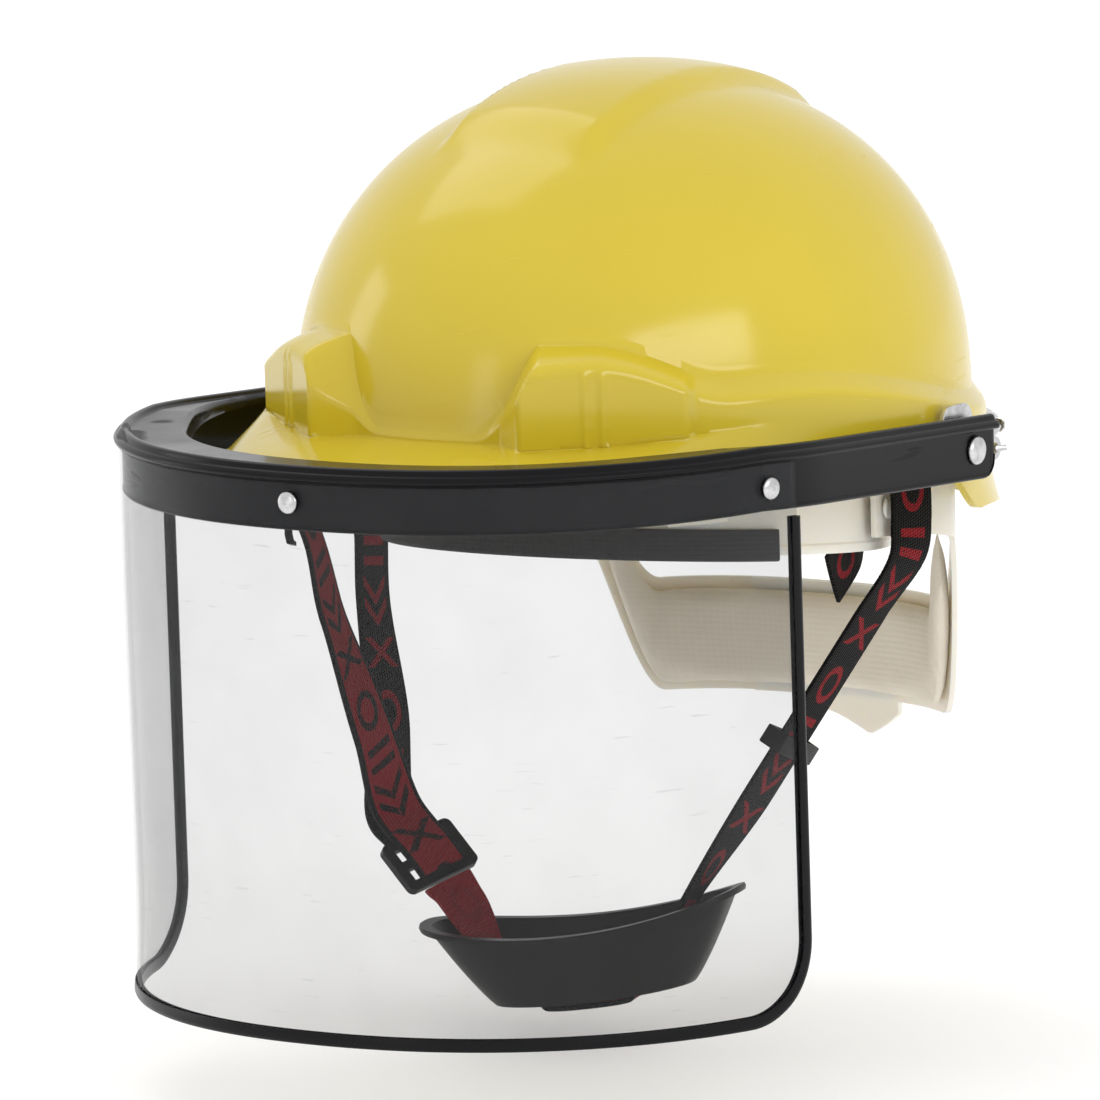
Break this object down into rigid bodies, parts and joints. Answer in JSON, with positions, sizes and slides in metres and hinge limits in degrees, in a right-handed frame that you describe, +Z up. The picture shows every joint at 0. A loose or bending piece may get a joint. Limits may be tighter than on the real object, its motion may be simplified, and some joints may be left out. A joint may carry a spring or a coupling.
{
  "type": "hard hat with face shield",
  "caption": "Safety helmet with a ridged dome and short peak, a lift-up clear visor on a U-shaped carrier, an adjustable cradle and a chin strap with a moulded chin cup.",
  "frame": {"origin": "centre of the headband at brow level, where the wearer's head seats", "axes": "+Z up through the crown, -Y towards the front of the helmet, +X towards the wearer's left"},
  "size_m": [0.26, 0.3446, 0.3231],
  "materials": {
    "shell_yellow": "gloss moulded",
    "carrier_black": "gloss moulded",
    "vinyl_black": "satin extruded",
    "visor_clear": "clear polished",
    "steel": "bright zinc",
    "cradle_white": "milky translucent",
    "nape_foam": "fabric-faced foam",
    "sweat_foam": "fabric-faced foam",
    "webbing_black": "woven webbing",
    "webbing_red": "woven webbing",
    "cup_grey": "satin moulded",
    "clip_black": "satin moulded"
  },
  "bodies": {
    "helmet": {"shell": "shell_yellow", "pivot_bracket_left": "steel", "pivot_bracket_right": "steel", "arm_rivet_left": "steel", "arm_rivet_right": "steel", "pivot_bush_left": "vinyl_black", "pivot_bush_right": "vinyl_black", "tension_spring": "steel", "spring_hook_left": "steel", "spring_hook_right": "steel", "headband": "cradle_white", "sweatband": "sweat_foam", "nape_strap_left": "cradle_white", "nape_strap_right": "cradle_white", "band_stud_left": "cradle_white", "band_stud_right": "cradle_white", "nape_stud_left": "cradle_white", "nape_stud_right": "cradle_white", "nape_pad": "nape_foam", "cradle_key_front_left": "cradle_white", "cradle_key_front_right": "cradle_white", "cradle_key_rear_left": "cradle_white", "cradle_key_rear_right": "cradle_white", "crown_strap_lower": "cradle_white", "crown_strap_upper": "cradle_white", "crown_pad": "sweat_foam", "strap_lug_right_front": "clip_black", "strap_lug_right_rear": "clip_black"},
    "visor": {"carrier": "carrier_black", "visor_sheet": "visor_clear", "edge_binding": "vinyl_black", "visor_rivet_center": "steel", "visor_rivet_left": "steel", "visor_rivet_right": "steel", "visor_washer_center": "steel", "visor_washer_left": "steel", "visor_washer_right": "steel", "front_tab": "carrier_black"},
    "chin_strap": {"chin_strap_right_front": "webbing_red", "chin_strap_right_rear": "webbing_black", "chin_strap_right_lower": "webbing_red", "chin_strap_left": "webbing_black", "chin_strap_under_cup": "webbing_red"},
    "chin_cup": {"chin_cup": "cup_grey"},
    "strap_slider": {"strap_slider": "clip_black"},
    "strap_keeper": {"strap_keeper": "clip_black"}
  },
  "joints": [
    {"name": "visor_lift", "type": "hinge", "parent": "helmet", "child": "visor", "pos_m": [0, 0.0149, 0.007], "axis": [-1, 0, 0], "range_deg": [0, 85]},
    {"name": "chin_strap_swing", "type": "hinge", "parent": "helmet", "child": "chin_strap", "pos_m": [-0.0118, -0.0008, -0.0085], "axis": [0.9195, 0.3928, -0.0152], "range_deg": [-20, 20], "deforming": ["chin_strap_right_front", "chin_strap_right_rear", "chin_strap_left"]},
    {"name": "chin_cup_slide", "type": "slide", "parent": "chin_strap", "child": "chin_cup", "axis": [0.9565, 0.2563, 0.1392], "range_m": [-0.006, 0.006], "deforming": ["chin_strap_right_lower", "chin_strap_under_cup"]},
    {"name": "strap_slider_slide", "type": "slide", "parent": "chin_strap", "child": "strap_slider", "axis": [-0.7139, 0.0633, 0.6974], "range_m": [0, 0.008]},
    {"name": "strap_keeper_slide", "type": "slide", "parent": "chin_strap", "child": "strap_keeper", "axis": [0.4291, 0.3518, 0.832], "range_m": [-0.015, 0.02]}
  ]
}
